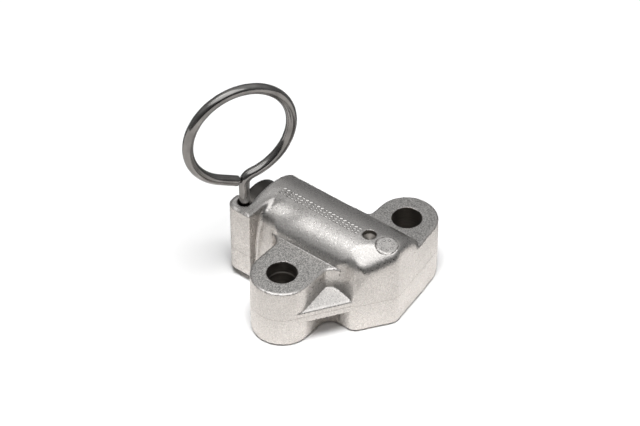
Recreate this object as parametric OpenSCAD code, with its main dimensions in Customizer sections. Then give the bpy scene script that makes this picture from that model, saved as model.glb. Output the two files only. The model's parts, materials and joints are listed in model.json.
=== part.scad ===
// Hydraulic timing chain tensioner, held closed for fitting by a ring-pull lock pin.
// X runs along the bore and the plunger leaves towards -X. Y runs across. Z is up from the mounting face.
// The origin lies on the mounting face, under the bore axis, midway along X between the bolt holes.

/* [Housing body] */
// Radius of the arched body around the bore
body_r = 10.6; // [10:0.1:12]
// Height of the bore axis above the mounting face
axis_h = 10.2; // [9.8:0.1:12]
// Distance of the mouth face from the origin
mouth_x = 22; // [20:0.5:26]
// Distance of the slanted end wall from the origin, measured square to the wall
end_wall = 12.6; // [12:0.1:16]
// Turn of the end wall's outward direction away from the bore axis
end_wall_turn = 35; // [25:1:42]
// Radius of the near upright corner of the end wall
near_corner_r = 2.5; // [1.5:0.1:3.5]
// Place across the body of the near corner's centre
near_corner_y = -7.2; // [-8:0.1:-6.5]
// Radius of the far upright corner of the end wall
far_corner_r = 3; // [2:0.1:4]
// Place across the body of the far corner's centre
far_corner_y = -0.6; // [-2:0.1:1]
// Half width of the body across its upright sides, where they leave the arch
side_y = 9.2; // [8.8:0.1:9.4]
// Outset of the upright sides at the mounting face, as casting draft
side_draft = 0.7; // [0:0.1:1]
// Radius of the edge between the crown and the end walls
end_edge_r = 2.2; // [1:0.1:3]
// Turn of the flat facet on the front of the crown, away from the bore axis
facet_turn = 69; // [60:1:80]
// Slope of that facet
facet_slope = 29; // [25:1:33]
// Place along the bore where the facet's top edge starts
facet_x = 6.9; // [6:0.1:8]
// Place across the body where the facet's top edge starts
facet_y = -3; // [-4:0.1:-2]

/* [Bolt lugs] */
// Height of the machined lug faces
lug_h = 15.6; // [12:0.1:16]
// Outer radius of the lugs
lug_r = 7.1; // [6:0.1:8]
// Diameter of the bolt holes
bolt_d = 6.8; // [5.5:0.1:8.5]
// Half of the distance between the bolt holes along the bore
lug_x = 5.4; // [4.5:0.1:7]
// Distance of the front bolt hole from the bore axis
front_lug_y = 17.1; // [16:0.1:22]
// Distance of the rear bolt hole from the bore axis
rear_lug_y = 13.9; // [13:0.1:20]
// Radius of the fillets where the lugs leave the body
lug_root_r = 2.5; // [1:0.1:3]

/* [Web beside the front lug] */
// Height of the web's underside
web_low = 5.3; // [3:0.1:6]
// Height of the web's front edge
web_edge = 8.1; // [7:0.1:9]
// Slope of the web's top, rising to the body
web_slope = 22; // [10:1:35]

/* [Cheek with the pin hole] */
// Distance of the cheek's end from the mouth face
cheek_reach = 4.2; // [3.6:0.1:6]
// Length of the cheek along the body, behind the mouth face
cheek_seat = 2.8; // [2:0.1:5]
// Distance of the cheek's outer face from the bore axis
cheek_y = 11.5; // [11.2:0.1:13]
// Height of the cheek's flat top
cheek_top = 20.2; // [19:0.1:20.6]
// Height of the cheek's underside
cheek_low = 1.5; // [0.5:0.1:4]
// Radius of the cheek's outer upright corner
cheek_corner_r = 2.6; // [1:0.1:3]

/* [Cast details] */
// Diameter of the drilled dimple on the crown
dimple_d = 3.3; // [2:0.1:5]
// Depth of the dimple's point
dimple_deep = 2; // [0.6:0.1:2.2]
// Place of the dimple along the bore
dimple_x = 5.5; // [3:0.1:7]
// Diameter of the round pad on the crown
pad_d = 4.8; // [3:0.1:6]
// Place of the pad along the bore
pad_x = 10.3; // [9.5:0.1:11.5]
// Place of the pad across the body
pad_y = 0; // [-1:0.1:1]
// Depth of the pad's middle below the crown
pad_drop = 0.45; // [0.2:0.05:0.6]
// Tilt of the pad towards the near corner
pad_tilt = 11; // [0:1:15]
// Turn of that tilt away from the bore axis
pad_turn = 52; // [30:1:70]

/* [Plunger] */
// Diameter of the plunger
plunger_d = 14.4; // [13:0.1:14.8]
// Length of the plunger
plunger_l = 30; // [28:0.5:32]
// Length of the plunger's nose outside the mouth face when locked
nose_out = 5.6; // [5:0.1:8]
// Thickness of the plunger's closed nose
nose_wall = 3.5; // [2.5:0.1:5]
// Diameter of the spring pocket in the plunger
pocket_d = 10; // [9.4:0.1:10.6]
// Rounded edge of the nose
nose_edge_r = 1.2; // [0.5:0.1:2]
// Vent hole in the nose
vent_d = 1.2; // [0.8:0.1:2]
// Outward travel of the plunger
stroke = 12; // [6:0.5:14]
// Gap all round between the plunger and its bore
bore_gap = 0.03; // [0.02:0.01:0.06]

/* [Lock pin] */
// Diameter of the pin wire
wire_d = 2.4; // [1.8:0.1:2.6]
// Radius of the pull ring, to the middle of the wire
ring_r = 12.3; // [10:0.1:15]
// Radius of the bend from the stem into the ring
bend_r = 2.4; // [2:0.1:4]
// Place of the ring's centre to one side of the stem
ring_shift = -0.7; // [-1.5:0.1:0]
// Height of the ring's centre above the cheek
ring_rise = 19.8; // [18:0.1:26]
// Turn of the ring's plane about the stem
ring_turn = 63.5; // [40:0.5:90]
// Reach of the stem below the bore axis
pin_below = 6; // [3:0.5:8]
// Straight length at the ring's tail
tail_l = 4.8; // [0:0.1:6]
// Gap all round between the stem and its hole
pin_gap = 0.4; // [0.3:0.05:0.5]
// Distance of the pin from the cheek's end
pin_in = 3; // [2.6:0.1:3.4]
// Gap between the pin and the flat on the plunger
flat_gap = 0.4; // [0.2:0.05:0.6]

/* [Check valve] */
// Depth of the bore behind the mouth face
bore_l = 28.5; // [26:0.5:30]
// Thickness of the valve seat
seat_t = 2.5; // [2:0.1:3.5]
// Diameter of the oil hole in the seat
seat_hole_d = 2.2; // [1.6:0.1:2.8]
// Diameter of the check ball
ball_d = 4; // [3.4:0.1:4.4]
// Lift of the check ball
ball_lift = 0.6; // [0.3:0.1:0.8]
// Inner diameter of the ball cage
cage_d = 5.8; // [5.4:0.1:6]
// Length of the ball cage
cage_l = 7; // [6.6:0.1:8]
// Sheet thickness of the ball cage
cage_t = 0.6; // [0.4:0.05:0.7]
// Diameter of the oil drilling in the mounting face
oil_d = 2.4; // [1.6:0.1:3]

/* [Springs and inner pieces] */
// Wire diameter of the plunger spring
spring_wire = 1; // [0.7:0.05:1.1]
// Turns of the plunger spring
spring_turns = 8; // [6:1:10]
// Wire diameter of the ball spring
ball_wire = 0.35; // [0.25:0.05:0.4]
// Turns of the ball spring
ball_turns = 4; // [3:1:5]
// Thickness of the vent disc behind the nose
vent_disc_t = 1; // [0.6:0.1:1.6]
// Length of the oil-saving insert, with its head
insert_l = 18; // [10:0.5:19]
// Diameter of the insert's shank
insert_d = 6; // [4:0.1:6.4]
// Gap between inner pieces that slip past each other
slip = 0.15; // [0.1:0.05:0.25]

/* [Hidden] */
$fn = 64;
far = 100;
crown_h = axis_h + body_r;
side_foot = side_y + side_draft;
flank_y = min(side_y, sqrt(pow(body_r, 2) - pow(lug_h - axis_h, 2)));
front_lug = [-lug_x, -front_lug_y];
rear_lug = [lug_x, rear_lug_y];
near_corner = wall_corner(near_corner_y, near_corner_r);
front_root = [front_lug.x, -side_foot];
front_turn = tangent_turn(front_root, 0, near_corner, near_corner_r);
far_corner = wall_corner(far_corner_y, far_corner_r);
side_turn = tangent_turn(far_corner, far_corner_r, rear_lug, lug_r);
side_wall = far_corner * heading(side_turn) + far_corner_r;
plunger_r = plunger_d / 2;
bore_r = plunger_r + bore_gap;
nose_x = -mouth_x - nose_out;
wire_r = wire_d / 2;
pin_r = wire_r + pin_gap;
cheek_end_x = -mouth_x - cheek_reach;
pin_x = cheek_end_x + pin_in;
flat_y = -plunger_r + wire_d / 4;
pin_y = flat_y - flat_gap - wire_r;
cheek_inner_y = -plunger_r - bore_gap;
bore_end_x = bore_l - mouth_x;
seat_x = bore_end_x - seat_t;
well_r = plunger_r - 3;
well_l = 2.2;
cage_face_x = seat_x - cage_t;
cage_r = cage_d / 2 + cage_t;
pocket_r = pocket_d / 2;
pocket_end_x = nose_x + nose_wall;
disc_face_x = pocket_end_x + vent_disc_t;
insert_head_t = 1;
spring_end_x = disc_face_x + insert_head_t;
spring_r = pocket_r - slip - spring_wire / 2;
seat_gap = 0.06;
ball_r = ball_d / 2;
ball_x = seat_x - sqrt(pow(ball_r, 2) - pow(seat_hole_d / 2, 2)) - seat_gap;
stop_x = ball_x - ball_r - ball_lift - seat_gap;
tip_chamfer = wire_d / 5;
tail_gap = 0.25;
drill_tip_d = 0.2;
cage_end_x = seat_x - cage_l;

// Unit direction at an angle in the plan.
function heading(turn) = [cos(turn), sin(turn)];
// Points of an arc in the plan, from one angle to another.
function arc(centre, r, from, to, steps = 12) =
    [for (i = [0:steps]) centre + r * heading(from + (to - from) * i / steps)];
// Height of the arch at a place across the body.
function arch_z(y) = axis_h + sqrt(pow(body_r, 2) - pow(y, 2));
// Centre of a corner circle that touches the slanted end wall, at a given place across the body.
function wall_corner(y, r) = [(end_wall - r + y * sin(end_wall_turn)) / cos(end_wall_turn), y];
// Outward angle of the straight wall that touches two circles on their right.
function tangent_turn(a, a_r, b, b_r) =
    atan2(b.y - a.y, b.x - a.x) - acos((a_r - b_r) / norm(b - a));
// Angle, counted from the ring's lowest point, at which a straight tail has to leave it to end at u.
function tail_turn(u) =
    let (hyp = norm([ring_r, tail_l])) atan2(tail_l, ring_r) - asin(u / hyp);
// Points along a coil about X whose end turns lie flat, from x0 to x1.
function coil_x(t, turns, wire, x0, x1) =
    let (dead = wire * 1.03, free = x1 - x0 - 2 * dead - wire)
    x0 + wire / 2 + (t < 1 ? t * dead
        : t > turns - 1 ? dead + free + (t - turns + 1) * dead
        : dead + free * (t - 1) / (turns - 2));

// Closed solid stretched over a row of rings that have the same number of points.
module skin(rings) {
    sides = len(rings[0]);
    last = len(rings) - 1;
    points = [for (ring = rings) for (p = ring) p];
    walls = [for (i = [0:last - 1]) for (j = [0:sides - 1])
        let (k = (j + 1) % sides)
        [i * sides + j, i * sides + k, (i + 1) * sides + k, (i + 1) * sides + j]];
    first_cap = [for (j = [sides - 1:-1:0]) j];
    last_cap = [for (j = [0:sides - 1]) last * sides + j];
    polyhedron(points, concat(walls, [first_cap, last_cap]));
}

// Round wire wound as a coil about the bore axis.
module coil(r, wire, turns, x0, x1, steps, sides) {
    skin([for (i = [0:turns * steps])
        let (a = 360 * i / steps, x = coil_x(i / steps, turns, wire, x0, x1))
        [for (j = [0:sides - 1])
            let (b = 360 * j / sides, reach = r + wire / 2 * cos(b))
            [x + wire / 2 * sin(b), reach * cos(a), axis_h + reach * sin(a)]]]);
}

// Cylinder about the bore axis between two places along X.
module along(x0, x1, r) {
    translate([x0, 0, axis_h]) rotate([0, 90, 0]) cylinder(h = x1 - x0, r = r);
}

// Everything above a plane that falls towards a heading and reaches height z at distance d from the origin.
module above_slope(turn, d, z, slope) {
    rotate([0, 0, turn]) translate([d, 0, z]) rotate([0, slope, 0]) translate([-far, -far, 0])
        cube([2 * far, 2 * far, far]);
}

// Cross-section of the body: an arch on upright sides with a little draft.
module arch_section() {
    spring = acos(side_y / body_r);
    polygon(concat([[-side_foot, 0]], arc([0, axis_h], body_r, 180 - spring, spring, 48), [[side_foot, 0]]));
}

// Plan of the body, closed by the slanted end wall and the straight side wall.
module body_plan() {
    polygon(concat(
        [[-mouth_x, -body_r], front_root],
        arc(near_corner, near_corner_r, front_turn, -end_wall_turn),
        arc(far_corner, far_corner_r, -end_wall_turn, side_turn),
        [rear_lug + lug_r * heading(side_turn), [-mouth_x, rear_lug.y + lug_r]]));
}

// Arched body, with its crown rounded down to the two end walls and a flat facet on its front.
module arched_body() {
    difference() {
        intersection() {
            linear_extrude(crown_h) body_plan();
            translate([-mouth_x, 0, 0]) rotate([90, 0, 90]) linear_extrude(far) arch_section();
        }
        for (wall = [[-end_wall_turn, end_wall], [side_turn, side_wall]], slope = [22.5:22.5:67.5])
            above_slope(wall[0], wall[1] - end_edge_r * (1 - sin(slope)),
                        crown_h - end_edge_r * (1 - cos(slope)), slope);
        above_slope(-facet_turn, [facet_x, facet_y] * heading(-facet_turn), arch_z(facet_y), facet_slope);
    }
}

// Lug on the front side, a U in plan with fillets at its root.
module front_lug_block() {
    root_y = -flank_y - lug_root_r;
    side = lug_r + lug_root_r;
    linear_extrude(lug_h) polygon(concat(
        [front_lug + [-side, front_lug_y]],
        arc([front_lug.x - side, root_y], lug_root_r, 90, 0),
        arc(front_lug, lug_r, 180, 360, 48),
        arc([front_lug.x + side, root_y], lug_root_r, 180, 90),
        [front_lug + [side, front_lug_y]]));
}

// Lug on the rear side, running straight into the side wall.
module rear_lug_block() {
    root_y = flank_y + lug_root_r;
    side = lug_r + lug_root_r;
    linear_extrude(lug_h) polygon(concat(
        [[rear_lug.x - side, 0], far_corner, far_corner + far_corner_r * heading(side_turn)],
        arc(rear_lug, lug_r, side_turn, 180, 48),
        arc([rear_lug.x - side, root_y], lug_root_r, 0, -90)));
}

// Web across the valley between the front lug and the end wall, sloping up to the body.
module web() {
    lug_end = front_lug + lug_r * heading(-9);
    wall_end = near_corner + near_corner_r * heading(-80);
    edge = wall_end - lug_end;
    intersection() {
        translate([0, 0, web_low]) linear_extrude(lug_h - web_low)
            polygon([front_lug, lug_end, wall_end, near_corner, [front_lug.x, 0]]);
        translate([lug_end.x, lug_end.y, web_edge]) rotate([web_slope, 0, atan2(edge.y, edge.x)])
            translate([-far, -far, -far]) cube([2 * far, 2 * far, far]);
    }
}

// Square cheek at the front of the mouth, which carries the lock pin.
module cheek() {
    back_x = -mouth_x + cheek_seat;
    corner = [cheek_end_x + cheek_corner_r, -cheek_y + cheek_corner_r];
    translate([0, 0, cheek_low]) linear_extrude(cheek_top - cheek_low) polygon(concat(
        [[cheek_end_x, cheek_inner_y]],
        arc(corner, cheek_corner_r, 180, 270),
        [[back_x, -cheek_y], [back_x, 0], [-mouth_x, 0], [-mouth_x, cheek_inner_y]]));
}

// Cylinder square to the tilted pad, between two heights measured from the pad's face.
module on_pad(low, high, d) {
    translate([pad_x, pad_y, crown_h - pad_drop]) rotate([0, 0, -pad_turn]) rotate([0, pad_tilt, 0])
        translate([0, 0, low]) cylinder(h = high - low, d = d);
}

// One-piece die-cast housing.
module housing() {
    color([0.72, 0.70, 0.68]) difference() {
        union() {
            arched_body();
            front_lug_block();
            rear_lug_block();
            web();
            cheek();
            on_pad(-pad_d / 2, 0, pad_d);
        }
        on_pad(0, pad_d, pad_d);
        for (lug = [front_lug, rear_lug])
            translate([lug.x, lug.y, -1]) cylinder(h = lug_h + 2, d = bolt_d);
        along(cheek_end_x - 1, bore_end_x, bore_r);
        along(bore_end_x - 1, bore_end_x + well_l, well_r);
        translate([pin_x, pin_y, cheek_low - 1]) cylinder(h = cheek_top - cheek_low + 2, r = pin_r);
        translate([bore_end_x + well_l / 2, 0, -1]) cylinder(h = axis_h + 1, d = oil_d);
        translate([dimple_x, 0, crown_h - dimple_deep])
            cylinder(h = 2 * dimple_deep, d1 = drill_tip_d, d2 = 2 * dimple_d - drill_tip_d);
    }
}

// Hollow steel plunger with a flat that slides past the lock pin.
module plunger() {
    flat_x = pin_x - wire_d;
    color([0.30, 0.29, 0.28]) difference() {
        translate([nose_x, 0, axis_h]) rotate([0, 90, 0]) rotate_extrude() polygon(concat(
            [[0, 0]],
            arc([plunger_r - nose_edge_r, nose_edge_r], nose_edge_r, -90, 0, 8),
            [[plunger_r, plunger_l], [pocket_r, plunger_l], [pocket_r, nose_wall], [0, nose_wall]]));
        along(nose_x - 1, pocket_end_x + 1, vent_d / 2);
        translate([flat_x, flat_y - plunger_r, 0])
            cube([stroke + 2 * wire_d, plunger_r, axis_h + plunger_r]);
    }
}

// Compression spring that pushes the plunger out.
module plunger_spring() {
    color([0.45, 0.45, 0.46]) coil(spring_r, spring_wire, spring_turns, spring_end_x, cage_face_x, 18, 8);
}

// Vent disc behind the nose, with a ring groove and a bleed hole.
module vent_disc() {
    color([0.55, 0.55, 0.56]) difference() {
        along(pocket_end_x, disc_face_x, pocket_r - slip);
        difference() {
            along(pocket_end_x - 1, pocket_end_x + vent_disc_t / 3, pocket_r - 4 * slip - 0.6);
            along(pocket_end_x - 2, disc_face_x, pocket_r - 4 * slip - 1.4);
        }
        translate([0, pocket_r / 2, 0]) along(pocket_end_x - 1, disc_face_x + 1, vent_d / 2);
    }
}

// Plastic insert that fills the middle of the spring.
module volume_insert() {
    color([0.20, 0.20, 0.21]) union() {
        along(disc_face_x, spring_end_x, pocket_r - slip);
        along(spring_end_x - insert_head_t / 2, disc_face_x + insert_l, insert_d / 2);
    }
}

// Valve seat at the bottom of the bore.
module valve_seat() {
    color([0.62, 0.62, 0.63]) difference() {
        along(seat_x, bore_end_x, plunger_r);
        along(seat_x - 1, bore_end_x + 1, seat_hole_d / 2);
    }
}

// Ball that closes the seat.
module check_ball() {
    color([0.80, 0.80, 0.82]) translate([ball_x, 0, axis_h]) sphere(r = ball_r);
}

// Light spring that returns the ball.
module ball_spring() {
    color([0.50, 0.50, 0.51]) coil(ball_r * 0.6, ball_wire, ball_turns, cage_end_x + cage_t,
                                   ball_x - ball_r * 0.8 - ball_wire, 14, 6);
}

// Pressed cage that holds the ball to the seat, with four oil windows and a stop for the ball's lift.
module ball_cage() {
    window_w = cage_d / 3;
    color([0.66, 0.62, 0.50]) union() {
        difference() {
            union() {
                along(cage_face_x, seat_x, plunger_r - 1);
                along(cage_end_x, cage_face_x + cage_t / 2, cage_r);
            }
            along(cage_end_x + cage_t, seat_x + 1, cage_d / 2);
            for (turn = [0, 90])
                translate([cage_end_x + 2 * cage_t, 0, axis_h]) rotate([turn, 0, 0])
                    translate([0, -far / 2, -window_w / 2]) cube([cage_l / 3, far, window_w]);
        }
        along(cage_end_x + cage_t / 2, stop_x, ball_r * 0.3);
    }
}

// Lock pin bent from one wire: a straight stem, a tight bend and a pull ring that closes beside the stem.
module lock_pin() {
    sides = 16;
    join = asin((bend_r - ring_shift) / (ring_r + bend_r));
    // Angle of the tail's straight end, so that it stops beside the stem.
    tail = tail_turn(-ring_shift - wire_r - tail_gap);
    ring_z = cheek_top + ring_rise;
    bend_z = ring_z - (ring_r + bend_r) * cos(join);
    tip_z = axis_h - pin_below;
    // Each station holds a point of the wire in the ring's plane, the direction to its left and a radius.
    stem = [[[0, tip_z], [-1, 0], wire_r - tip_chamfer], [[0, tip_z + tip_chamfer], [-1, 0], wire_r]];
    bend = [for (i = [0:8]) let (side = heading(180 + (join - 90) * i / 8))
        [[bend_r, bend_z] + bend_r * side, side, wire_r]];
    ring = [for (i = [1:72]) let (side = heading(join - 90 + (360 - join - tail) * i / 72))
        [[ring_shift, ring_z] + ring_r * side, -side, wire_r]];
    tail_side = heading(-90 - tail);
    tail_end = [[ring_shift, ring_z] + ring_r * tail_side + tail_l * heading(-tail), -tail_side, wire_r];
    color([0.42, 0.41, 0.40]) translate([pin_x, pin_y, 0]) rotate([0, 0, ring_turn])
        skin([for (s = concat(stem, bend, ring, [tail_end]))
            [for (j = [0:sides - 1])
                let (b = 360 * j / sides, flat = s[0] + s[2] * cos(b) * s[1])
                [flat.x, s[2] * sin(b), flat.y]]]);
}

housing();
plunger();
plunger_spring();
vent_disc();
volume_insert();
valve_seat();
check_ball();
ball_spring();
ball_cage();
lock_pin();
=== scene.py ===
"""Looks of a hydraulic timing chain tensioner with a die-cast housing and a ring-pull lock pin."""
import json
import math

import bpy
import numpy as np
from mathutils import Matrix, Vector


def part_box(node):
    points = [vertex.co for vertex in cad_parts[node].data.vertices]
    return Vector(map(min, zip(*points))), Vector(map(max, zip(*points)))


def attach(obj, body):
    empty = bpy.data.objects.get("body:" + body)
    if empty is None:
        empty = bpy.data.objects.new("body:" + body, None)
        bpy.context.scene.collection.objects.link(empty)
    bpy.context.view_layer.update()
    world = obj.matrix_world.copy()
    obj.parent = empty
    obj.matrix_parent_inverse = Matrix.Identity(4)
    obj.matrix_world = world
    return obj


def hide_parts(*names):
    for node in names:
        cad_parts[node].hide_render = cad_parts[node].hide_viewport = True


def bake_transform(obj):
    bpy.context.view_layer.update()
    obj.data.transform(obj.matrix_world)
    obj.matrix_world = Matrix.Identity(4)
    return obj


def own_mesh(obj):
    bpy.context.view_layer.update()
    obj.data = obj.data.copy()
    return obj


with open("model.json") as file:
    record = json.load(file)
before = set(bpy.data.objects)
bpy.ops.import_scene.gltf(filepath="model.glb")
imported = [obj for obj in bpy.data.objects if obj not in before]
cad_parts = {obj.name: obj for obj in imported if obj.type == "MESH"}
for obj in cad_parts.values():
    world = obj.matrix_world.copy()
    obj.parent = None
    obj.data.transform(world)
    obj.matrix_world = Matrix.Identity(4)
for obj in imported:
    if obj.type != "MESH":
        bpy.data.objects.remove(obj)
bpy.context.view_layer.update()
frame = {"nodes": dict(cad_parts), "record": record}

# Places and sizes that the frame gives, in millimetres
MM = 0.001


def box_mm(node):
    """Lowest and highest corner of a node."""
    return [np.array(corner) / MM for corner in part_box(node)]


mounts = {m["name"]: m for m in frame["record"]["mounts"]}
housing_low, housing_high = box_mm("housing")
plunger_low, plunger_high = box_mm("plunger")
FRONT_LUG = np.array(mounts["front_bolt_hole"]["pos_m"][:2]) / MM
REAR_LUG = np.array(mounts["rear_bolt_hole"]["pos_m"][:2]) / MM
HOLE_R = mounts["front_bolt_hole"]["dims"]["r_mm"]
LUG_H = mounts["front_bolt_hole"]["dims"]["length_mm"]
LUG_R = FRONT_LUG[1] - housing_low[1]
AXIS_H = (plunger_low[2] + plunger_high[2]) / 2
PLUNGER_R = (plunger_high[2] - plunger_low[2]) / 2
CHEEK_END = housing_low[0]
PIN_TIP_Z = box_mm("lock_pin")[0][2]

# Housing body, in millimetres and degrees
BODY_R = 10.6
MOUTH_X = -22.0
MOUTH_EDGE_R = 0.5
END_WALL = 12.6
END_TURN = -35.0
END_EDGE_R = 0.1
END_EDGE_EXTRA = 2.2
END_EDGE_RISE = (AXIS_H + 1, AXIS_H + 6)
NEAR_CORNER_R = 2.5
NEAR_CORNER_Y = -7.2
FAR_CORNER_R = 3.0
FAR_CORNER_Y = -0.6
SIDE_Y = 9.2
SIDE_DRAFT = 0.7
SIDE_EDGE_R = (0.3, 2.8)
SIDE_EDGE_RUN = 4
SIDE_EDGE_RISE = (5, 14)
FACET_TURN = -69.0
FACET_SLOPE = 29.0
FACET_TOP = (6.9, -3.0)
FACET_EDGE_R = 0.2
PARTING_Z = 7.7
WALL_DRAFT = 1.0
BOTTOM_EDGE_R = 0.4
LUG_ROOT_R = 2.5
LUG_BEVEL = 0.2
BEVEL_SLOPE = 30.0
BEVEL_EDGE_R = 0.05

# Web between the front lug and the end wall
WEB_LOW = 5.9
WEB_LOW_R = 0.4
WEB_EDGE = 9.0
WEB_EDGE_R = 0.1
WEB_SLOPE = 20.0
WEB_LUG_HEADING = -18.0
WEB_WALL_HEADING = -80.0
WEB_OUT = 0.3
WEB_BEVEL = 0.14
WEB_BEVEL_SLOPE = 38.0
WEB_FILLET_R = 0.1

# Cheek that carries the pin
CHEEK_BACK = MOUTH_X + 2.8
CHEEK_Y = -11.5
CHEEK_TOP = 20.2
CHEEK_LOW = 1.5
CHEEK_LOW_R = 0.45
CHEEK_CORNER_R = 2.6
CHEEK_EDGE_R = 0.4
CHEEK_BEVEL = 0.32
CHEEK_FILLET_R = 0.8
CHEEK_FILLET_EXTRA = 0.6
CHEEK_FILLET_RISE = (AXIS_H + 3, AXIS_H + 9)

# Dimple and pad on the crown
DIMPLE_X = 5.5
DIMPLE_R = 1.65
DIMPLE_WALL_R = 0.94 * DIMPLE_R
DIMPLE_DEEP = 2.0
DIMPLE_SLOPE = 0.6
DIMPLE_SLANT = 1.17
DIMPLE_EDGE_R = 0.1
PAD_AT = (10.3, 0.0)
PAD_R = 2.4
PAD_DROP = 0.45
PAD_TILT = 11.0
PAD_TURN = -52.0
PAD_EDGE_R = 0.35

# Bores
HOLE_EDGE_R = 0.12
FRONT_STEP = 0.18
FRONT_STEP_Z = (LUG_H - 3.0, LUG_H - 3.3)
BORE_R = PLUNGER_R + 0.03
BORE_END = 6.5
BORE_EDGE_R = 0.3
WELL_R = PLUNGER_R - 3
WELL_L = 2.2
WELL_LAP = 1
OIL_R = 1.2
PIN_AT = np.array([CHEEK_END + 3.0, -8.2])
PIN_HOLE_R = 1.6
SMALL_HOLE_EDGE_R = 0.2

# Where the housing's finish changes
FLAT_UP = 0.985
FLAT_NEAR = 0.04
HOLE_NEAR = 0.08
BORE_NEAR = 0.06
RIM_DEEP = 0.15
DIMPLE_RIM_DEEP = 0.3
BORE_SPAN = (MOUTH_X + 0.2, BORE_END + WELL_L + 0.1)
# After the drilled walls, which carry a dark tint as painted shade, come a darker copy of the machined
# finish that paints shade on the rear lug top and a lighter copy that paints light on the cheek top.
CAST, FACED, DRILLED, REAR_TOP_PAINTED_SHADE, CHEEK_TOP_PAINTED_LIGHT = range(5)

# Raised cast marks on the crown and the pad
MARK_START = -18.4
MARK_PITCH = 1.06
MARK_COUNT = 21
MARK_MIDDLE = -0.6
MARK_ROW = 0.78
MARK_R = 0.32
MARK_EDGE = 58.0
MARK_TOP = 6.0
MARK_LEVELS = 6
MARK_SIDES = 24
MARK_SUNK = 0.15
MARK_HALF = 0.24
MARK_SLANT = 40.0
PAD_DOTS = 7
PAD_DOT_RING = 1.35

# Lock pin
WIRE_R = 1.2
WIRE_SIDES = 32
WIRE_EASE = 0.3
WIRE_EASE_STEPS = 5
RING_R = 12.3
BEND_R = 2.4
RING_SHIFT = -0.7
RING_Z = CHEEK_TOP + 19.8
RING_TURN = 63.5
TAIL_L = 4.8
TAIL_GAP = 0.25
STEM_STEPS = 20
BEND_STEPS = 15
RING_STEPS = 161
TAIL_STEPS = 8

# Mesh of the housing: grid in millimetres, margin and drift in grid steps
GRID = 0.32
GRID_MARGIN = 1.6
RELAX_ROUNDS = 2
RELAX_DRIFT = 0.6
SETTLE_ROUNDS = 3
SETTLE_DRIFT = 0.9
PROBE = 0.02
LEAST_SLOPE = 0.2

# Floor and its tone in the metal, with painted light near the part and a painted shadow behind it in
# what the metal mirrors, in millimetres for its mesh and metres for its material
FLOOR_LINES = (110, 300, 1500)
FLOOR_FINE = 70
FLOOR_FINE_COUNT = 71
FLOOR_GAP = 0.3
FOOT_Z = 2.0
FLOOR_WHITE = 0.9
FLOOR_PAINTED_LIGHT_NEAR = (1.0, 0.972, 0.945)
FLOOR_WIDE = (0.77, 0.743, 0.717)
FLOOR_REACH = (0.002, 0.022)
FLOOR_PAINTED_SHADOW_BEHIND = 0.17
FLOOR_FADE = (0.010, 0.040)

# World, lamps and camera, in metres and degrees
WORLD_GREYS = [(0, 0.20), (0.3, 0.23), (0.5, 0.33), (0.7, 0.47), (1, 0.55)]
WORLD_ON_FLOOR = 0.3
DARK_SIDE = (0.62, -0.78, 0.0)
DARK_SIDE_LEVEL = 0.3
DARK_SIDE_FADE = 0.9
SOFTBOX_AT = (0.35, -0.335, 1.0)
SOFTBOX_SIZE = (1.3, 1.03)
SOFTBOX_GLOW = 1.08
STRIP_AT = (-0.42, -0.20, 1.0)
STRIP_SIZE = (0.09, 0.82)
STRIP_TURN = -32.0
STRIP_GLOW = 4.0
FILL_AT = (0.12, -0.16, 1.0)
FILL_ANGLE = 24.0
FILL_STRENGTH = 3.1
CAMERA_AT = (0.2548, -0.3320, 0.4101)
CAMERA_TILT = 47.3
CAMERA_TURN = 38.4
CAMERA_LENS = 146.25
CAMERA_SENSOR = 36
CAMERA_NEAR = 0.01


def heading(turn):
    """Unit direction at an angle in the plan."""
    return np.array([math.cos(math.radians(turn)), math.sin(math.radians(turn))])


def tangent_turn(a, a_r, b, b_r):
    """Outward angle of the straight wall that touches two circles on their right."""
    d = b - a
    return math.degrees(math.atan2(d[1], d[0]) - math.acos((a_r - b_r) / np.hypot(*d)))


def end_wall_corner(y, r):
    """Centre of a corner circle that touches the slanted end wall."""
    out = heading(END_TURN)
    return np.array([(END_WALL - r - y * out[1]) / out[0], y])


CROWN_H = AXIS_H + BODY_R
SIDE_TOP = AXIS_H + math.sqrt(BODY_R ** 2 - SIDE_Y ** 2)
NEAR_CORNER = end_wall_corner(NEAR_CORNER_Y, NEAR_CORNER_R)
FAR_CORNER = end_wall_corner(FAR_CORNER_Y, FAR_CORNER_R)
FRONT_ROOT = np.array([FRONT_LUG[0], -SIDE_Y - SIDE_DRAFT])
FRONT_TURN = tangent_turn(FRONT_ROOT, 0, NEAR_CORNER, NEAR_CORNER_R)
SIDE_TURN = tangent_turn(FAR_CORNER, FAR_CORNER_R, REAR_LUG, LUG_R)
SIDE_WALL = FAR_CORNER @ heading(SIDE_TURN) + FAR_CORNER_R
LUG_SPAN = LUG_R + LUG_ROOT_R


# Distance fields: negative inside, in millimetres

def round_and(a, b, r):
    """What two shapes share, with a rounded edge where they cross."""
    return np.minimum(np.maximum(a, b), -r) + np.hypot(np.maximum(a + r, 0), np.maximum(b + r, 0))


def fillet_or(a, b, r):
    """Both shapes, with a fillet where they meet."""
    return np.maximum(np.minimum(a, b), r) - np.hypot(np.maximum(r - a, 0), np.maximum(r - b, 0))


def slanted(wall, top, slope):
    """Everything under a slope that falls from a flat top towards a wall."""
    return wall * math.sin(math.radians(slope)) + top * math.cos(math.radians(slope))


def bevelled(wall, top, deep):
    """What a wall and a flat top share, with a sloped bevel along their edge."""
    bevel = slanted(wall, top, BEVEL_SLOPE) + deep
    return round_and(round_and(top, bevel, BEVEL_EDGE_R), wall, BEVEL_EDGE_R)


def cut(solid, hole, r=0.0):
    """The solid without the hole, with a rounded rim."""
    return round_and(solid, -hole, r) if r else np.maximum(solid, -hole)


def ramp(low, high, v):
    """Smooth step from 0 to 1."""
    t = np.clip((v - low) / (high - low), 0, 1)
    return t * t * (3 - 2 * t)


def from_point(x, y, point):
    """Distance from a point in the plan."""
    return np.hypot(x - point[0], y - point[1])


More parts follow.
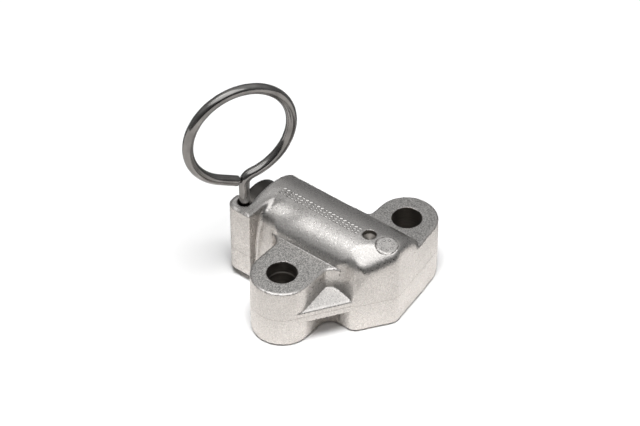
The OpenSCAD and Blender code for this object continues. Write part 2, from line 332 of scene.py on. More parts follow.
def upright_wall(x, y, turn, reach):
    """Everything behind an upright wall that faces a heading."""
    out = heading(turn)
    return x * out[0] + y * out[1] - reach


def round_corner(base, x, y, centre, r, turn_a, turn_b):
    """A plan whose corner between two walls follows a circle."""
    a, b = heading(turn_a), heading(turn_b)
    dx, dy = x - centre[0], y - centre[1]
    within = (a[0] * dy - a[1] * dx >= 0) & (dx * b[1] - dy * b[0] >= 0)
    return np.where(within, np.hypot(dx, dy) - r, base)


def side_half_width(z):
    """Half width across the upright sides at a height, with their casting draft."""
    return SIDE_Y + SIDE_DRAFT * (SIDE_TOP - np.minimum(z, SIDE_TOP)) / SIDE_TOP


def wall_swell(z):
    """Draft of the cast walls, which are widest at the parting line."""
    return math.tan(math.radians(WALL_DRAFT)) * (LUG_H / 4 - np.abs(z - PARTING_Z))


def arched_body(x, y, z):
    """Arched body with its end walls and the flat facet on its crown, and its sides for the lugs."""
    barrel = np.hypot(y, np.maximum(z - AXIS_H, 0)) - BODY_R
    out = heading(FACET_TURN) * math.sin(math.radians(FACET_SLOPE))
    top_z = AXIS_H + math.sqrt(BODY_R ** 2 - FACET_TOP[1] ** 2)
    facet = ((x - FACET_TOP[0]) * out[0] + (y - FACET_TOP[1]) * out[1]
             + (z - top_z) * math.cos(math.radians(FACET_SLOPE)))
    from_lug = np.abs(x - np.sign(y) * REAR_LUG[0])
    soft = ramp(LUG_R, LUG_R + SIDE_EDGE_RUN, from_lug) * ramp(*SIDE_EDGE_RISE, z)
    side_r = SIDE_EDGE_R[0] + (SIDE_EDGE_R[1] - SIDE_EDGE_R[0]) * soft
    arch = round_and(round_and(barrel, facet, FACET_EDGE_R), np.abs(y) - side_half_width(z), side_r)
    front = upright_wall(x, y, FRONT_TURN, FRONT_ROOT @ heading(FRONT_TURN))
    plan = np.maximum(np.maximum(front, upright_wall(x, y, END_TURN, END_WALL)),
                      upright_wall(x, y, SIDE_TURN, SIDE_WALL))
    plan = round_corner(plan, x, y, NEAR_CORNER, NEAR_CORNER_R, FRONT_TURN, END_TURN)
    plan = round_corner(plan, x, y, FAR_CORNER, FAR_CORNER_R, END_TURN, SIDE_TURN)
    end_r = END_EDGE_R + END_EDGE_EXTRA * ramp(*END_EDGE_RISE, z)
    body = round_and(arch, plan - wall_swell(z), end_r)
    return round_and(body, MOUTH_X - x, MOUTH_EDGE_R), np.maximum(arch, front)


def front_lug(x, y, z, side):
    """Lug on the front side, with fillets where it leaves the body."""
    lug = np.hypot(x - FRONT_LUG[0], np.minimum(y - FRONT_LUG[1], 0)) - LUG_R - wall_swell(z)
    lug = fillet_or(lug, side, LUG_ROOT_R)
    lug = np.maximum(np.maximum(lug, np.abs(x - FRONT_LUG[0]) - LUG_SPAN), y + BODY_R / 2)
    return bevelled(lug, z - LUG_H, LUG_BEVEL)


def rear_lug(x, y, z, side):
    """Lug on the rear side, running straight into the side wall."""
    lug = np.maximum(REAR_LUG[0] - LUG_R - x, upright_wall(x, y, SIDE_TURN, SIDE_WALL))
    lug = round_corner(lug, x, y, REAR_LUG, LUG_R, SIDE_TURN, 180) - wall_swell(z)
    lug = fillet_or(lug, np.maximum(side, x - FAR_CORNER[0]), LUG_ROOT_R)
    lug = np.maximum(np.maximum(lug, REAR_LUG[0] - LUG_SPAN - x), BODY_R / 4 - y)
    return bevelled(lug, z - LUG_H, LUG_BEVEL)


def web(x, y, z):
    """Web across the valley between the front lug and the end wall."""
    lug_end = FRONT_LUG + LUG_R * heading(WEB_LUG_HEADING)
    wall_end = NEAR_CORNER + NEAR_CORNER_R * heading(WEB_WALL_HEADING)
    edge = wall_end - lug_end
    turn = math.degrees(math.atan2(edge[1], edge[0])) - 90
    front = upright_wall(x, y, turn, lug_end @ heading(turn) + WEB_OUT)
    top = slanted(front, z - WEB_EDGE, WEB_SLOPE)
    rim = slanted(front, z - WEB_EDGE, WEB_BEVEL_SLOPE) + WEB_BEVEL
    plate = round_and(round_and(top, rim, BEVEL_EDGE_R), front, WEB_EDGE_R)
    plate = round_and(plate, WEB_LOW - z, WEB_LOW_R)
    start = upright_wall(x, y, turn - 90, FRONT_LUG @ heading(turn - 90))
    return np.maximum(np.maximum(plate, start), np.maximum(FRONT_LUG[0] - x, y - NEAR_CORNER_Y))


def cheek(x, y, z):
    """Square cheek at the mouth, which carries the lock pin."""
    outer = np.maximum(CHEEK_END - x, round_and(CHEEK_Y - y, x - CHEEK_BACK, CHEEK_EDGE_R))
    corner = np.array([CHEEK_END + CHEEK_CORNER_R, CHEEK_Y + CHEEK_CORNER_R])
    outer = round_corner(outer, x, y, corner, CHEEK_CORNER_R, 180, 270)
    inner = np.minimum(y + BORE_R, np.maximum(MOUTH_X - x, y))
    block = np.maximum(outer, inner)
    return round_and(bevelled(block, z - CHEEK_TOP, CHEEK_BEVEL), CHEEK_LOW - z, CHEEK_LOW_R)


def pad_place(x, y, z):
    """Distance from the pad's axis and height above its tilted face."""
    turn, tilt = heading(PAD_TURN), math.radians(PAD_TILT)
    dx, dy, dz = x - PAD_AT[0], y - PAD_AT[1], z - (CROWN_H - PAD_DROP)
    along = dx * turn[0] + dy * turn[1]
    across = dy * turn[0] - dx * turn[1]
    u = along * math.cos(tilt) - dz * math.sin(tilt)
    height = along * math.sin(tilt) + dz * math.cos(tilt)
    return np.hypot(u, across), height


def pad(solid, x, y, z):
    """The solid with the flat round pad on its crown."""
    r, height = pad_place(x, y, z)
    solid = cut(solid, np.maximum(r - PAD_R, -height), PAD_EDGE_R)
    return np.minimum(solid, np.maximum(round_and(r - PAD_R, height, PAD_EDGE_R), -PAD_R - height))


def dimple(x, y, z):
    """Drilled dimple with a pointed floor."""
    r = np.hypot(x - DIMPLE_X, y)
    floor = (CROWN_H - DIMPLE_DEEP + DIMPLE_SLOPE * r - z) / DIMPLE_SLANT
    return np.maximum(r - DIMPLE_WALL_R, floor)


def housing_field(x, y, z):
    """Distance to the whole housing."""
    body, side = arched_body(x, y, z)
    solid = np.minimum(body, front_lug(x, y, z, side))
    solid = np.minimum(solid, rear_lug(x, y, z, side))
    solid = fillet_or(solid, web(x, y, z), WEB_FILLET_R)
    cheek_r = CHEEK_FILLET_R + CHEEK_FILLET_EXTRA * ramp(*CHEEK_FILLET_RISE, z)
    solid = fillet_or(solid, cheek(x, y, z), cheek_r)
    solid = pad(solid, x, y, z)
    solid = cut(solid, dimple(x, y, z), DIMPLE_EDGE_R)
    solid = round_and(solid, -z, BOTTOM_EDGE_R)
    for lug, step in ((FRONT_LUG, FRONT_STEP), (REAR_LUG, 0.0)):
        hole = from_point(x, y, lug) - HOLE_R + step * ramp(*FRONT_STEP_Z, z)
        solid = cut(solid, hole, HOLE_EDGE_R)
    axis = np.hypot(y, z - AXIS_H)
    solid = cut(solid, np.maximum(axis - BORE_R, x - BORE_END), BORE_EDGE_R)
    well = np.maximum(axis - WELL_R, x - BORE_END - WELL_L)
    solid = cut(solid, np.maximum(well, BORE_END - WELL_LAP - x))
    solid = cut(solid, from_point(x, y, PIN_AT) - PIN_HOLE_R, SMALL_HOLE_EDGE_R)
    oil = np.hypot(x - BORE_END - WELL_L / 2, y) - OIL_R
    return cut(solid, np.maximum(oil, z - AXIS_H), SMALL_HOLE_EDGE_R)


def drilled(x, y, z):
    """Whether a point of the housing lies on a drilled wall."""
    wall = (np.hypot(x - DIMPLE_X, y) < DIMPLE_R) & (z > LUG_H) & (z < CROWN_H - DIMPLE_RIM_DEEP)
    for lug in (FRONT_LUG, REAR_LUG):
        wall |= (from_point(x, y, lug) < HOLE_R + HOLE_NEAR) & (z < LUG_H - RIM_DEEP)
    wall |= (from_point(x, y, PIN_AT) < PIN_HOLE_R + BORE_NEAR) & (z < CHEEK_TOP - RIM_DEEP)
    inner = (x > BORE_SPAN[0]) & (x < BORE_SPAN[1])
    return wall | (inner & (np.hypot(y, z - AXIS_H) < BORE_R + BORE_NEAR))


# Meshes

def gradient(field, p):
    """Direction in which the field grows, at each point."""
    steps = np.eye(3) * PROBE
    return np.stack([field(*(p + s).T) - field(*(p - s).T) for s in steps], 1) / (2 * PROBE)


def settle(field, p, start, limit):
    """Points moved onto the surface, no further than a limit from where they started."""
    g = gradient(field, p)
    step = field(*p.T) / np.maximum((g * g).sum(1), LEAST_SLOPE)
    p = p - step[:, None] * g
    away = p - start
    length = np.linalg.norm(away, axis=1, keepdims=True)
    return start + away * np.minimum(1, limit / np.maximum(length, 1e-9))


def relaxed(p, quads):
    """The middle of each point's neighbours."""
    total = np.zeros_like(p)
    count = np.zeros(len(p))
    for a, b in ((0, 1), (1, 2), (2, 3), (3, 0)):
        for i, j in ((quads[:, a], quads[:, b]), (quads[:, b], quads[:, a])):
            for k in range(3):
                total[:, k] += np.bincount(i, p[j, k], len(p))
            count += np.bincount(i, minlength=len(p))
    return total / np.maximum(count, 1)[:, None]


def surface_net(field, low, high, step):
    """Points, quads and normals of the surface where a field is zero."""
    margin = GRID_MARGIN * step
    axes = [np.arange(a - margin, b + margin, step) for a, b in zip(low, high)]
    value = field(axes[0][:, None, None], axes[1][None, :, None], axes[2][None, None, :])
    inside = value < 0
    n = np.array(value.shape) - 1
    corners = [np.array([i, j, k]) for i in (0, 1) for j in (0, 1) for k in (0, 1)]

    def shifted(a, c):
        return a[c[0]:c[0] + n[0], c[1]:c[1] + n[1], c[2]:c[2] + n[2]]

    full = sum(shifted(inside, c).astype(np.int8) for c in corners)
    active = (full > 0) & (full < 8)
    cells = np.argwhere(active)
    index = np.full(n, -1)
    index[active] = np.arange(len(cells))
    total = np.zeros((len(cells), 3))
    count = np.zeros(len(cells))
    for a in corners:
        for b in corners:
            if (b - a).sum() != 1 or (b - a).min() < 0:
                continue
            fa, fb = value[tuple((cells + a).T)], value[tuple((cells + b).T)]
            crossed = (fa < 0) != (fb < 0)
            t = np.where(crossed, fa / np.where(crossed, fa - fb, 1), 0)
            total += np.where(crossed[:, None], cells + a + t[:, None] * (b - a), 0)
            count += crossed
    start = np.array([axis[0] for axis in axes]) + step * total / count[:, None]
    quads = []
    for k in range(3):
        ends = np.argwhere(np.diff(inside, axis=k))
        one, two = np.eye(3, dtype=int)[[(k + 1) % 3, (k + 2) % 3]]
        ring = [index[tuple((ends - s).T)] for s in (one + two, two, 0 * one, one)]
        quad = np.stack(ring, 1)
        outward = inside[tuple(ends.T)]
        quads.append(np.where(outward[:, None], quad, quad[:, ::-1]))
    quads = np.concatenate(quads)
    p = start
    for _ in range(RELAX_ROUNDS):
        p = settle(field, p, start, RELAX_DRIFT * step)
        p = 0.5 * p + 0.5 * relaxed(p, quads)
    for _ in range(SETTLE_ROUNDS):
        p = settle(field, p, start, SETTLE_DRIFT * step)
    normals = gradient(field, p)
    return p, quads, normals / np.linalg.norm(normals, axis=1, keepdims=True)


def ring_faces(first, rings, count):
    """Faces of a closed skin over rings of points, with a cap at both ends."""
    faces = []
    for level in range(rings - 1):
        a = first + count * level
        for j in range(count):
            k = (j + 1) % count
            faces.append([a + j, a + k, a + count + k, a + count + j])
    last = first + count * (rings - 1)
    faces.append([last + j for j in range(count)])
    faces.append([first + j for j in reversed(range(count))])
    return faces


def link_object(name, data):
    """Object in the scene."""
    thing = bpy.data.objects.new(name, data)
    bpy.context.scene.collection.objects.link(thing)
    return thing


def new_piece(name, points, faces, normals=None):
    """Smooth mesh object from points in millimetres."""
    mesh = bpy.data.meshes.new(name)
    mesh.from_pydata((points * MM).tolist(), [], faces)
    mesh.shade_smooth()
    if normals is not None:
        mesh.normals_split_custom_set_from_vertices(normals.tolist())
    return link_object(name, mesh)


# Materials

class Nodes:
    """Short way to add shader nodes and links to a material or world."""

    def __init__(self, owner):
        owner.use_nodes = True
        self.owner = owner
        self.tree = owner.node_tree

    def add(self, kind, **values):
        """New node with its settings and the constants of its sockets."""
        node = self.tree.nodes.new(kind)
        for key, value in values.items():
            if hasattr(node, key):
                setattr(node, key, value)
            else:
                node.inputs[key.replace("_", " ")].default_value = value
        return node

    def feed(self, socket, value):
        """A socket linked to another node's output, or set to a constant."""
        if isinstance(value, bpy.types.NodeSocket):
            self.tree.links.new(value, socket)
        else:
            socket.default_value = value

    def math(self, operation, *values):
        """A sum on numbers."""
        node = self.add("ShaderNodeMath", operation=operation)
        for socket, value in zip(node.inputs, values):
            self.feed(socket, value)
        return node.outputs[0]

    def vector(self, operation, first, second, result="Vector"):
        """A sum on vectors."""
        node = self.add("ShaderNodeVectorMath", operation=operation)
        self.feed(node.inputs[0], first)
        self.feed(node.inputs[1], second)
        return node.outputs[result]

    def place(self, kind="Object"):
        """Coordinates on the object, or in the world."""
        return self.add("ShaderNodeTexCoord").outputs[kind]

    def height(self, place):
        """The Z of a place."""
        split = self.add("ShaderNodeSeparateXYZ")
        self.feed(split.inputs[0], place)
        return split.outputs["Z"]

    def noise(self, scale, detail=2.0, stretch=(1, 1, 1)):
        """Noise in the object's own coordinates, with a scale in features per metre."""
        mapping = self.add("ShaderNodeMapping", Scale=stretch)
        noise = self.add("ShaderNodeTexNoise", Scale=scale, Detail=detail)
        self.feed(mapping.inputs["Vector"], self.place())
        self.feed(noise.inputs["Vector"], mapping.outputs["Vector"])
        return noise.outputs["Fac"]

    def spread(self, source, low, high, at=(0.3, 0.7)):
        """A factor mapped onto a range of numbers."""
        node = self.add("ShaderNodeMapRange", From_Min=at[0], From_Max=at[1], To_Min=low, To_Max=high)
        self.feed(node.inputs["Value"], source)
        return node.outputs["Result"]

    def tint(self, source, dark, light, at=(0.3, 0.7)):
        """A factor mapped onto a range of colours."""
        node = self.add("ShaderNodeValToRGB")
        for stop, place, colour in zip(node.color_ramp.elements, at, (dark, light)):
            stop.position = place
            stop.color = (*colour, 1)
        self.feed(node.inputs["Fac"], source)
        return node.outputs["Color"]

    def mix(self, factor, a, b, blend="MIX"):
        """Two colours mixed by a factor."""
        node = self.add("ShaderNodeMix", data_type="RGBA", blend_type=blend)
        for name, value in (("Factor", factor), ("A", a), ("B", b)):
            self.feed(node.inputs[name], value)
        return node.outputs["Result"]

    def bump(self, source, distance, strength, under=None):
        """Bump of a height given in metres."""
        node = self.add("ShaderNodeBump", Strength=strength, Distance=distance)
        self.feed(node.inputs["Height"], source)
        if under is not None:
            self.feed(node.inputs["Normal"], under)
        return node.outputs["Normal"]

    def line(self, distance, half):
        """1 on a line of a given half width, where a distance in metres is zero, and 0 beside it."""
        return self.spread(self.math("ABSOLUTE", distance), 1.0, 0.0, (0.3 * half, half))

    def shade(self, **values):
        """The shader's sockets linked or set. Returns the material."""
        shader = self.tree.nodes["Principled BSDF"]
        for key, value in values.items():
            self.feed(shader.inputs[key.replace("_", " ")], value)
        return self.owner


def new_nodes(name):
    """Nodes of a new material."""
    return Nodes(bpy.data.materials.new(name))


def cast_skin():
    """Blasted die-cast aluminium: fine grain, cloudy tone, a parting line and a line about the pad."""
    m = new_nodes("cast_aluminium")
    cloud = m.noise(140, 4)
    grain = m.noise(3600, 1)
    pits = m.noise(1700, 2)
    place = m.place()
    parting = m.line(m.math("SUBTRACT", m.height(place), PARTING_Z * MM), 0.00016)
    plan = m.vector("MULTIPLY", place, (1, 1, 0))
    reach = m.vector("DISTANCE", plan, (PAD_AT[0] * MM, PAD_AT[1] * MM, 0), "Value")
    ring = m.line(m.math("SUBTRACT", reach, PAD_R * MM), 0.0002)
    lines = m.math("MAXIMUM", parting, ring)
    speck = m.tint(grain, (0.60, 0.581, 0.563), (0.82, 0.794, 0.77))
    mottle = m.tint(cloud, (0.9, 0.9, 0.9), (1, 1, 1))
    tone = m.mix(1.0, speck, mottle, "MULTIPLY")
    colour = m.mix(m.spread(lines, 0.0, 0.45, (0, 1)), tone, (0.42, 0.39, 0.37, 1))
    groove = m.bump(m.spread(lines, 1.0, 0.0, (0, 1)), 0.00005, 0.7)
    coarse = m.bump(pits, 0.00004, 0.32, groove)
    return m.shade(Metallic=1.0, Base_Color=colour, Roughness=m.spread(pits, 0.25, 0.35),
                   Normal=m.bump(grain, 0.00003, 1.0, coarse))


def rubbed_skin():
    """Raised cast marks, rubbed brighter than the skin about them."""
    m = new_nodes("rubbed_aluminium")
    grain = m.noise(3600, 1)
    return m.shade(Metallic=1.0, Base_Color=m.tint(grain, (0.58, 0.565, 0.55), (0.74, 0.722, 0.704)),
                   Roughness=m.spread(grain, 0.22, 0.30), Normal=m.bump(grain, 0.00002, 0.5))


def machined_face(name, dark, light):
    """Milled and blasted faces, greyer and with a tight grain."""
    m = new_nodes(name)
    grain = m.noise(4000, 1)
    return m.shade(Metallic=1.0, Base_Color=m.tint(grain, dark, light),
                   Roughness=m.spread(m.noise(900, 3), 0.46, 0.58),
                   Normal=m.bump(grain, 0.00003, 0.8))


def shaded_bore_wall():
    """Drilled walls, tinted dark as painted shade inside the holes, the bore and the dimple."""
    m = new_nodes("drilled_wall_painted_shade")
    rings = m.noise(900, 2, (0.2, 0.2, 4))
    return m.shade(Metallic=1.0, Base_Color=m.tint(rings, (0.22, 0.203, 0.186), (0.34, 0.316, 0.292)),
                   Roughness=m.spread(rings, 0.4, 0.55), Normal=m.bump(rings, 0.00002, 0.3))


def drawn_wire():
    """Drawn steel wire with a worn sheen."""
    m = new_nodes("drawn_wire")
    patch = m.noise(260, 4)
    scuff = m.noise(2600, 3)
    return m.shade(Metallic=1.0, Base_Color=m.tint(patch, (0.23, 0.224, 0.218), (0.38, 0.371, 0.362)),
                   Roughness=m.spread(scuff, 0.10, 0.19), Normal=m.bump(scuff, 0.00001, 0.12))


def ground_steel(name, dark, light, roughness, stretch=(1, 1, 1)):
    """Ground or turned steel, with fine lines around the bore axis where the noise is stretched."""
    m = new_nodes(name)
    lines = m.noise(3000, 2, stretch)
    return m.shade(Metallic=1.0, Base_Color=m.tint(m.noise(300, 3), dark, light),
                   Roughness=m.spread(lines, *roughness), Normal=m.bump(lines, 0.00001, 0.3))


def moulded_plastic():
    """Dark moulded plastic with a faint grain."""
    m = new_nodes("moulded_plastic")
    grain = m.noise(3000, 2)
    return m.shade(Base_Color=m.tint(grain, (0.07, 0.07, 0.075), (0.12, 0.12, 0.125)),
                   Roughness=m.spread(grain, 0.45, 0.6), Normal=m.bump(grain, 0.00002, 0.3))


# Pieces

def build_housing():
    """Cast housing with soft edges in place of the plain solid."""
    points, quads, normals = surface_net(housing_field, housing_low, housing_high, GRID)
    piece = new_piece("cast_housing_body", points, quads.tolist(), normals)
    up = normals[quads].mean(1)[:, 2]
    x, y, z = points[quads].mean(1).T
    level = (np.abs(z - LUG_H) < FLAT_NEAR) | (np.abs(z - CHEEK_TOP) < FLAT_NEAR)
    flat = level & (up > FLAT_UP)
    finish = np.full(len(quads), CAST)
    finish[flat] = FACED
    # The rear lug top gets a darker copy of the machined finish: painted shade.
    finish[flat & (y > BODY_R / 2)] = REAR_TOP_PAINTED_SHADE
    # The cheek top gets a lighter copy of the machined finish: painted light.
    finish[flat & (z > (LUG_H + CHEEK_TOP) / 2)] = CHEEK_TOP_PAINTED_LIGHT
    # Drilled walls and the dimple's wall take the dark tint that paints the shade inside them.
    finish[drilled(x, y, z)] = DRILLED
    faced = machined_face("machined_aluminium", (0.31, 0.302, 0.292), (0.93, 0.91, 0.886))
    # Darker copy of the machined finish, painted shade on the rear lug top.
    worn = machined_face("machined_aluminium_painted_shade", (0.27, 0.263, 0.254), (0.72, 0.705, 0.686))
    # Lighter copy of the machined finish, painted light on the cheek top.
    cheek_painted_light = machined_face("machined_aluminium_painted_light", (0.52, 0.508, 0.493), (0.98, 0.96, 0.935))
    for material in (cast_skin(), faced, shaded_bore_wall(), worn, cheek_painted_light):
        piece.data.materials.append(material)
    piece.data.polygons.foreach_set("material_index", finish.astype(np.int32))
    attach(piece, "housing")
    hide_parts("housing")


def domed_bar(place, middle, half=0.0, slant=0.0):
    """Rings of points of one raised bar with round ends and a domed top, from its foot upwards."""
    turn = np.linspace(0, 2 * math.pi, MARK_SIDES, endpoint=False) + math.pi / MARK_SIDES
    dome = MARK_R / math.sin(math.radians(MARK_EDGE))
    foot = math.cos(math.radians(MARK_EDGE))
    levels = [(-MARK_SUNK, MARK_R)]
    for a in np.radians(np.linspace(MARK_EDGE, MARK_TOP, MARK_LEVELS)):
        levels.append((dome * (math.cos(a) - foot), dome * math.sin(a)))
    side = heading(slant)
    rings = []
    for height, r in levels:
        long, short = r * np.cos(turn) + half * np.sign(np.cos(turn)), r * np.sin(turn)
        u, v = long * side[0] - short * side[1], long * side[1] + short * side[0]
        rings.append([place(middle[0] + a, middle[1] + b, height) for a, b in zip(u, v)])
    return rings


def on_crown(along, across, height):
    """Point on the arch, at a place along it and across it."""
    turn, reach = across / BODY_R, BODY_R + height
    return along, reach * math.sin(turn), AXIS_H + reach * math.cos(turn)


def on_pad(along, across, height):
    """Point on the pad's tilted face."""
    turn, tilt = heading(PAD_TURN), math.radians(PAD_TILT)
    run = along * math.cos(tilt) + height * math.sin(tilt)
    rise = height * math.cos(tilt) - along * math.sin(tilt)
    return (PAD_AT[0] + run * turn[0] - across * turn[1],
            PAD_AT[1] + run * turn[1] + across * turn[0], CROWN_H - PAD_DROP + rise)


def raise_bars(name, bars, material):
    """One piece of raised bars that stand in the housing's skin."""
    points, faces = [], []
    for rings in bars:
        faces += ring_faces(len(points), len(rings), len(rings[0]))
        for ring in rings:
            points += ring
    piece = new_piece(name, np.array(points), faces)
    piece.data.materials.append(material)
    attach(piece, "housing")


def build_marks():
    """Three rows of raised dots and short bars along the crown, and a ring of dots on the pad."""
    bars = []
    for i in range(MARK_COUNT):
        for row in (-1, 0, 1):
            kind = (i * (i + 3) // 2 + row * (i + 1)) % 3
            middle = (MARK_START + MARK_PITCH * i, MARK_MIDDLE + MARK_ROW * row)
            half, slant = ((0.0, 0.0), (MARK_HALF, MARK_SLANT), (MARK_HALF, 0.0))[kind]
            bars.append(domed_bar(on_crown, middle, half, slant))
    skin = rubbed_skin()
    raise_bars("crown_marks", bars, skin)
    spots = [PAD_DOT_RING * heading(360 / PAD_DOTS * i) for i in range(PAD_DOTS)]
    raise_bars("pad_dots", [domed_bar(on_pad, spot) for spot in spots], skin)


def pin_route():
    """Points of the wire's middle in the ring's plane, with the direction to their left."""
    join = math.degrees(math.asin((BEND_R - RING_SHIFT) / (RING_R + BEND_R)))
    tail_end = -RING_SHIFT - WIRE_R - TAIL_GAP
    tail = math.degrees(math.atan2(TAIL_L, RING_R) - math.asin(tail_end / math.hypot(RING_R, TAIL_L)))
    bend_z = RING_Z - (RING_R + BEND_R) * math.cos(math.radians(join))
    left = np.array([-1.0, 0.0])
    stations = [(np.array([0, z]), left) for z in np.linspace(PIN_TIP_Z, bend_z, STEM_STEPS)]
    for a in np.linspace(180, 90 + join, BEND_STEPS)[1:]:
        stations.append((np.array([BEND_R, bend_z]) + BEND_R * heading(a), heading(a)))
    centre = np.array([RING_SHIFT, RING_Z])
    for a in np.linspace(join - 90, 270 - tail, RING_STEPS)[1:]:
        stations.append((centre + RING_R * heading(a), -heading(a)))
    side = heading(-90 - tail)
    for length in np.linspace(0, TAIL_L, TAIL_STEPS)[1:]:
        stations.append((centre + RING_R * side + length * heading(-tail), -side))
    return stations


def build_pin():
    """Lock pin swept along its route, with eased ends."""
    eased = [(WIRE_EASE * (1 - math.cos(a)), WIRE_R - WIRE_EASE * (1 - math.sin(a)))
             for a in np.linspace(0, math.pi / 2, WIRE_EASE_STEPS)]
    around = np.linspace(0, 2 * math.pi, WIRE_SIDES, endpoint=False)
    turn = heading(RING_TURN)
    stations = pin_route()
    last = len(stations) - 1
    rings = []
    for i, (p, left) in enumerate(stations):
        along = np.array([left[1], -left[0]])
        for shift, r in eased if i == 0 else eased[::-1] if i == last else [(0, WIRE_R)]:
            q = p + along * (shift if i == 0 else -shift)
            flat = q + r * np.cos(around)[:, None] * left
            off = r * np.sin(around)
            rings.append(np.stack([PIN_AT[0] + flat[:, 0] * turn[0] - off * turn[1],
                                   PIN_AT[1] + flat[:, 0] * turn[1] + off * turn[0], flat[:, 1]], 1))
    faces = ring_faces(0, len(rings), WIRE_SIDES)
    piece = new_piece("ring_pull_pin", np.concatenate(rings), faces)
    piece.data.materials.append(drawn_wire())
    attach(piece, "lock_pin")
    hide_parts("lock_pin")


def dress(node, material, angle=35):
    """Material and smooth shading for a solid that stays as it is."""
    piece = frame["nodes"][node]
    piece.data.materials.clear()
    piece.data.materials.append(material)
    piece.data.shade_smooth()
    piece.data.set_sharp_from_angle(angle=math.radians(angle))


def elastic_copy(name, node):
    """Piece with a spring's own shape and finish, in place of the stiff solid."""
    solid = frame["nodes"][node]
    piece = link_object(name, solid.data.copy())
    piece.matrix_world = solid.matrix_world
    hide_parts(node)
    return piece


def build_springs():
    """Main spring and ball spring, copied in place of the stiff solids."""
    main = elastic_copy("main_spring", "plunger_spring")
    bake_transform(main)
    small = elastic_copy("ball_return_spring", "ball_spring")
    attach(small, "housing")
    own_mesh(small)


def dress_solids():
    """Finishes of the solids that keep their shape, and of the springs."""
    turned = (6, 0.3, 0.3)
    dark_steel = ground_steel("dark_ground_steel", (0.06, 0.056, 0.052), (0.12, 0.113, 0.106),
                              (0.14, 0.24), turned)
    valve_steel = ground_steel("turned_steel", (0.52, 0.51, 0.5), (0.66, 0.65, 0.64),
                               (0.25, 0.38), turned)
    spring_steel = ground_steel("spring_wire", (0.36, 0.35, 0.34), (0.48, 0.47, 0.46), (0.25, 0.35))
    ball_steel = ground_steel("polished_ball", (0.74, 0.74, 0.75), (0.8, 0.8, 0.81), (0.06, 0.12))
    dress("plunger", dark_steel)
    dress("volume_insert", moulded_plastic())
    for node in ("vent_disc", "valve_seat", "ball_cage"):
        dress(node, valve_steel)
    for node in ("plunger_spring", "ball_spring"):
        dress(node, spring_steel, 60)
    dress("check_ball", ball_steel, 60)


# Studio

def build_floor():
    """White floor. In the metal it looks warm, with painted light that makes it brightest near the
    part and a painted shadow that dims it behind.
    """
    fine = np.linspace(-FLOOR_FINE, FLOOR_FINE, FLOOR_FINE_COUNT)
    line = np.concatenate([[-v for v in reversed(FLOOR_LINES)], fine, FLOOR_LINES])
    count = len(line)
    x, y = [v.ravel() for v in np.meshgrid(line, line, indexing="ij")]
    body, side = arched_body(x, y, np.full_like(x, FOOT_Z))
    foot = np.minimum(body, front_lug(x, y, FOOT_Z, side))
    foot = np.minimum(foot, rear_lug(x, y, FOOT_Z, side))
    foot = np.minimum(foot, cheek(x, y, CHEEK_LOW + FOOT_Z))
    corner = (np.arange(count - 1)[:, None] * count + np.arange(count - 1)).ravel()
    quads = np.stack([corner, corner + count, corner + count + 1, corner + 1], 1)
    points = np.stack([x, y, np.full_like(x, -FLOOR_GAP)], 1)
    floor = new_piece("floor", points, quads.tolist())
    floor.data.attributes.new("away", "FLOAT", "POINT").data.foreach_set("value", foot * MM)
    m = new_nodes("floor_white")
    away = m.add("ShaderNodeAttribute", attribute_name="away").outputs["Fac"]
    # Painted light: the floor the metal mirrors is brightest close to the part's foot.
    around = m.tint(m.spread(away, 0.0, 1.0, FLOOR_REACH), FLOOR_PAINTED_LIGHT_NEAR, FLOOR_WIDE, (0, 1))
    behind = m.vector("DOT_PRODUCT", m.place(), [-v for v in DARK_SIDE], "Value")
    # Painted shadow: the floor the metal mirrors grows dim behind the part.
    behind = m.spread(behind, 0.0, 1.0, FLOOR_FADE)
    mirrored = m.mix(behind, around, (FLOOR_PAINTED_SHADOW_BEHIND, FLOOR_PAINTED_SHADOW_BEHIND, FLOOR_PAINTED_SHADOW_BEHIND, 1))
    path = m.add("ShaderNodeLightPath").outputs
    plain = (FLOOR_WHITE, FLOOR_WHITE, FLOOR_WHITE, 1)
    seen = m.mix(path["Is Camera Ray"], plain, (1, 1, 1, 1))
    tone = m.mix(path["Is Glossy Ray"], seen, mirrored)
    floor.data.materials.append(m.shade(Base_Color=tone, Roughness=1.0, Specular_IOR_Level=0.0))


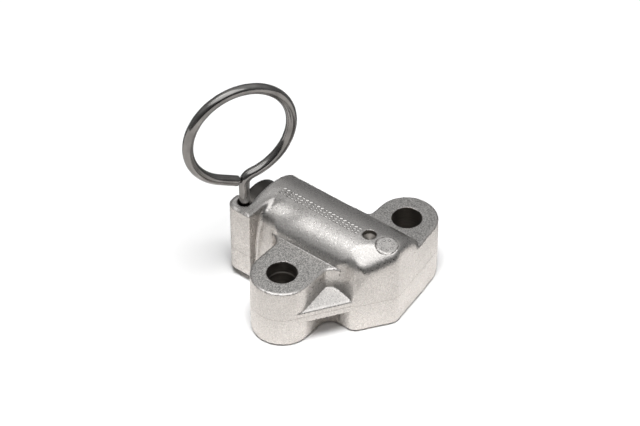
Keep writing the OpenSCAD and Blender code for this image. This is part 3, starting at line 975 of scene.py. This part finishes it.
def build_world():
    """Dim studio that grows lighter overhead and is darker on the camera's side."""
    m = Nodes(bpy.data.worlds.new("studio"))
    bpy.context.scene.world = m.owner
    place = m.place("Generated")
    shade = m.add("ShaderNodeValToRGB")
    m.feed(shade.inputs["Fac"], m.height(place))
    stops = shade.color_ramp.elements
    for at, grey in WORLD_GREYS:
        stop = stops[0] if at == 0 else stops[-1] if at == 1 else stops.new(at)
        stop.color = (grey, grey, grey, 1)
    toward = m.vector("DOT_PRODUCT", place, DARK_SIDE, "Value")
    fade = m.spread(toward, 1.0, DARK_SIDE_LEVEL, (0.0, DARK_SIDE_FADE))
    path = m.add("ShaderNodeLightPath").outputs
    on_floor = m.spread(path["Is Diffuse Ray"], 1.0, WORLD_ON_FLOOR, (0, 1))
    background = m.tree.nodes["Background"]
    m.feed(background.inputs["Color"], shade.outputs["Color"])
    m.feed(background.inputs["Strength"], m.math("MULTIPLY", fade, on_floor))


def new_panel(name, place, size, glow, turn=0.0):
    """Level panel lamp of a given radiance, which only the metal mirrors."""
    data = bpy.data.lights.new(name, "AREA")
    data.shape = "RECTANGLE"
    data.size, data.size_y = size
    data.energy = glow * math.pi * size[0] * size[1]
    panel = link_object(name, data)
    panel.location = place
    panel.rotation_euler = (0, 0, math.radians(turn))
    panel.visible_diffuse = False


def build_lights():
    """Softbox and bright strip that the metal mirrors, and a fill for what isn't polished."""
    new_panel("overhead_softbox", SOFTBOX_AT, SOFTBOX_SIZE, SOFTBOX_GLOW)
    new_panel("key_strip", STRIP_AT, STRIP_SIZE, STRIP_GLOW, STRIP_TURN)
    data = bpy.data.lights.new("soft_fill", "SUN")
    data.energy = FILL_STRENGTH
    data.angle = math.radians(FILL_ANGLE)
    fill = link_object("soft_fill", data)
    fill.location = FILL_AT
    fill.rotation_euler = (-fill.location).to_track_quat("-Z", "Y").to_euler()
    fill.visible_glossy = False


def build_camera():
    """Camera at the photograph's place."""
    lens = bpy.data.cameras.new("camera")
    lens.sensor_fit = "HORIZONTAL"
    lens.sensor_width = CAMERA_SENSOR
    lens.lens = CAMERA_LENS
    lens.clip_start = CAMERA_NEAR
    camera = link_object("camera", lens)
    camera.location = CAMERA_AT
    camera.rotation_euler = (math.radians(CAMERA_TILT), 0, math.radians(CAMERA_TURN))
    bpy.context.scene.camera = camera


build_camera()
build_floor()
build_world()
build_lights()
build_housing()
build_marks()
build_pin()
dress_solids()
build_springs()

bpy.context.scene.view_settings.view_transform = "Standard"
